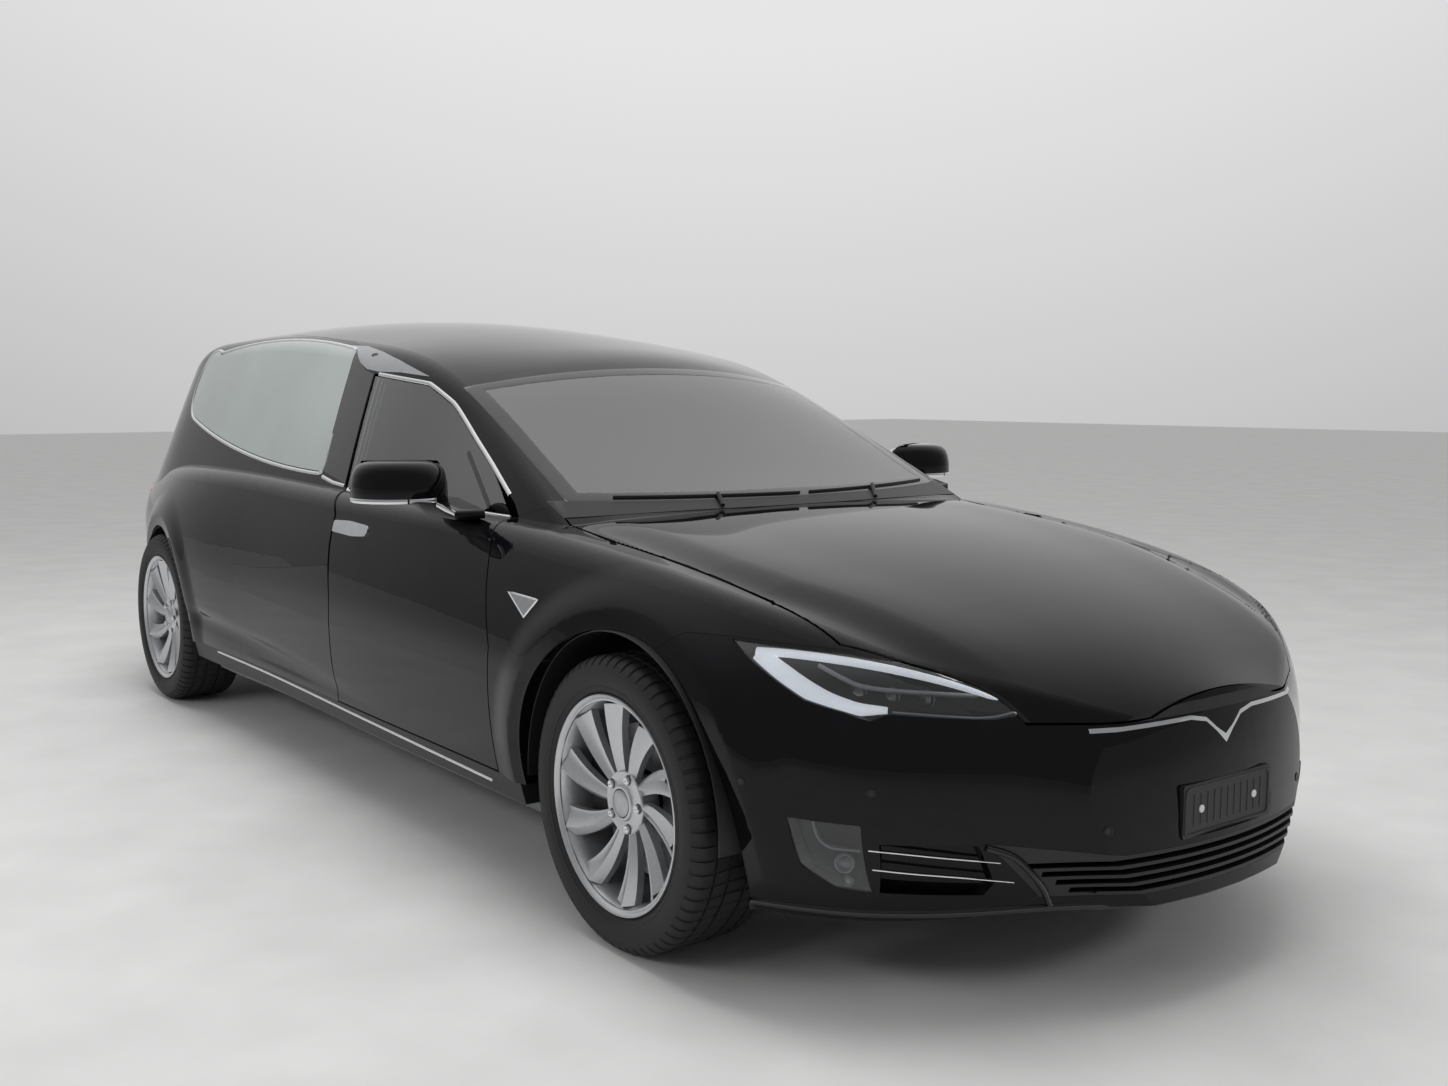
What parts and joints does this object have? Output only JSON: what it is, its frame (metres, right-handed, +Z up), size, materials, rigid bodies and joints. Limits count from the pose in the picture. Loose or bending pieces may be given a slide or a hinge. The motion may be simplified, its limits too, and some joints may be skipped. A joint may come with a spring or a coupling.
{
  "type": "hearse",
  "caption": "Black hearse on a stretched electric hatchback, with raised rear roof, long side windows, opening doors, hood and tailgate, steered front wheels.",
  "frame": {"origin": "on the floor under the middle of the car's box", "axes": "+X to the nose, +Y to the car's left, +Z up"},
  "size_m": [5.479, 2.2554, 1.5703],
  "materials": {
    "paint": "deep gloss black lacquer",
    "trim": "satin black moulded plastic",
    "glass": "green tinted glass",
    "privacy_glass": "grey green privacy glass",
    "lamp": "clear lamp lens",
    "tail_lamp": "red lamp lens",
    "chrome": "bright plating",
    "alloy": "silver lacquered cast alloy",
    "tyre": "black rubber",
    "chassis": "black coated steel",
    "casing": "bare cast casing",
    "leather": "black leather",
    "dash": "soft black moulding",
    "lining": "grey felt lining",
    "deck": "dark varnished boards"
  },
  "bodies": {
    "body": {"fenders": "paint", "front_bumper": "paint", "roof": "paint", "body_side_left": "paint", "body_side_right": "paint", "rear_door_panels": "paint", "rear_bumper": "paint", "sills": "trim", "cowl": "trim", "wheel_liners": "trim", "lower_grille": "trim", "plate_holder": "trim", "windshield": "glass", "side_windows": "privacy_glass", "headlamps": "lamp", "fog_lamps": "lamp", "tail_lamps": "tail_lamp", "nose_strip": "chrome", "front_subframe": "chassis", "rear_subframe": "chassis", "rear_knuckles": "chassis", "bulkheads": "chassis", "drive_units": "casing", "battery_floor": "casing", "seats": "leather", "dashboard": "dash", "steering_wheel": "dash", "partition": "lining", "casket_deck": "deck"},
    "hood": {"hood": "paint"},
    "tailgate": {"tailgate": "paint", "tailgate_window": "privacy_glass"},
    "door_left": {"door_left": "paint", "door_window_left": "glass", "mirror_left": "paint"},
    "door_right": {"door_right": "paint", "door_window_right": "glass", "mirror_right": "paint"},
    "knuckle_left": {"knuckle_left": "chassis"},
    "knuckle_right": {"knuckle_right": "chassis"},
    "wheel_front_left": {"rim_front_left": "alloy", "tyre_front_left": "tyre"},
    "wheel_front_right": {"rim_front_right": "alloy", "tyre_front_right": "tyre"},
    "wheel_rear_left": {"rim_rear_left": "alloy", "tyre_rear_left": "tyre"},
    "wheel_rear_right": {"rim_rear_right": "alloy", "tyre_rear_right": "tyre"}
  },
  "joints": [
    {"name": "wheel_spin_front_left", "type": "hinge", "parent": "knuckle_left", "child": "wheel_front_left", "pos_m": [1.7545, 0.8305, 0.347], "axis": [0, 1, 0], "continuous": true},
    {"name": "wheel_spin_front_right", "type": "hinge", "parent": "knuckle_right", "child": "wheel_front_right", "pos_m": [1.7545, -0.8305, 0.347], "axis": [0, 1, 0], "continuous": true},
    {"name": "wheel_spin_rear_left", "type": "hinge", "parent": "body", "child": "wheel_rear_left", "pos_m": [-1.7055, 0.8495, 0.347], "axis": [0, 1, 0], "continuous": true},
    {"name": "wheel_spin_rear_right", "type": "hinge", "parent": "body", "child": "wheel_rear_right", "pos_m": [-1.7055, -0.8495, 0.347], "axis": [0, 1, 0], "continuous": true},
    {"name": "steer_left", "type": "hinge", "parent": "body", "child": "knuckle_left", "pos_m": [1.7545, 0.7855, 0.347], "axis": [0, 0, 1], "range_deg": [-35, 35]},
    {"name": "steer_right", "type": "hinge", "parent": "body", "child": "knuckle_right", "pos_m": [1.7545, -0.7855, 0.347], "axis": [0, 0, 1], "range_deg": [-35, 35]},
    {"name": "door_swing_left", "type": "hinge", "parent": "body", "child": "door_left", "pos_m": [1.2325, 0.968, 0.6], "axis": [0, 0, -1], "range_deg": [0, 68]},
    {"name": "door_swing_right", "type": "hinge", "parent": "body", "child": "door_right", "pos_m": [1.2325, -0.968, 0.6], "axis": [0, 0, 1], "range_deg": [0, 68]},
    {"name": "hood_lift", "type": "hinge", "parent": "body", "child": "hood", "pos_m": [1.2025, 0, 0.978], "axis": [0, -1, 0], "range_deg": [0, 55]},
    {"name": "tailgate_lift", "type": "hinge", "parent": "body", "child": "tailgate", "pos_m": [-1.9755, 0, 1.53], "axis": [0, 1, 0], "range_deg": [0, 80]}
  ],
  "couplings": [
    {"joint": "steer_right", "follows": "steer_left", "ratio": 1}
  ]
}
